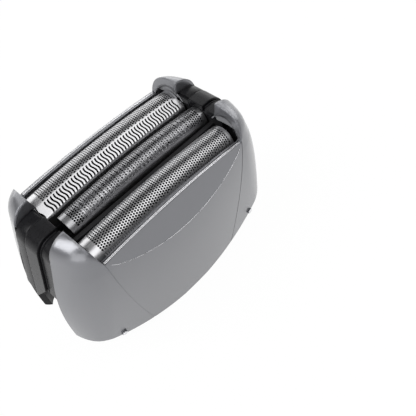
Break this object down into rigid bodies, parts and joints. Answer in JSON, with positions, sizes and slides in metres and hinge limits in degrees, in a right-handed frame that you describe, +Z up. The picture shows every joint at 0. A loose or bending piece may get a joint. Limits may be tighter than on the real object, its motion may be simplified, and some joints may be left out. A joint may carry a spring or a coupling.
{
  "type": "shaver foil head",
  "caption": "Replacement cutting head for a foil shaver: arched perforated steel foils in a silver and black housing, with a built-in centre cutter.",
  "frame": {"origin": "middle of the head on the plane that its feet rest on", "axes": "+X along the foils, -Y towards the front shell, +Z up through the foils"},
  "size_m": [0.0606, 0.031, 0.0408],
  "materials": {
    "silver_shell": "metallic silver paint, satin",
    "gloss_black": "polished black",
    "dull_black": "moulded black",
    "foil_steel": "polished thin sheet",
    "blade_steel": "ground"
  },
  "bodies": {
    "housing": {"front_panel": "silver_shell", "rear_panel": "silver_shell", "front_left_corner": "silver_shell", "front_right_corner": "silver_shell", "rear_left_corner": "silver_shell", "rear_right_corner": "silver_shell", "left_end_band": "gloss_black", "right_end_band": "gloss_black", "left_end_arm": "gloss_black", "right_end_arm": "gloss_black", "chassis": "dull_black", "foil_frame": "dull_black"},
    "rear_foil_unit": {"rear_foil": "foil_steel", "rear_foil_holder": "dull_black"},
    "centre_foil_unit": {"centre_foil": "foil_steel", "centre_foil_holder": "dull_black"},
    "front_foil_unit": {"front_foil": "foil_steel", "front_foil_holder": "dull_black"},
    "cutter_unit": {"centre_cutter": "blade_steel", "cutter_carrier": "dull_black", "left_cutter_spring": "blade_steel", "right_cutter_spring": "blade_steel"}
  },
  "joints": [
    {"name": "rear_foil_float", "type": "slide", "parent": "housing", "child": "rear_foil_unit", "axis": [0, 0, 1], "range_m": [0, 0.001]},
    {"name": "centre_foil_float", "type": "slide", "parent": "housing", "child": "centre_foil_unit", "axis": [0, 0, 1], "range_m": [0, 0.001]},
    {"name": "front_foil_float", "type": "slide", "parent": "housing", "child": "front_foil_unit", "axis": [0, 0, 1], "range_m": [0, 0.001]},
    {"name": "cutter_stroke", "type": "slide", "parent": "centre_foil_unit", "child": "cutter_unit", "axis": [1, 0, 0], "range_m": [-0.001, 0.001]}
  ]
}
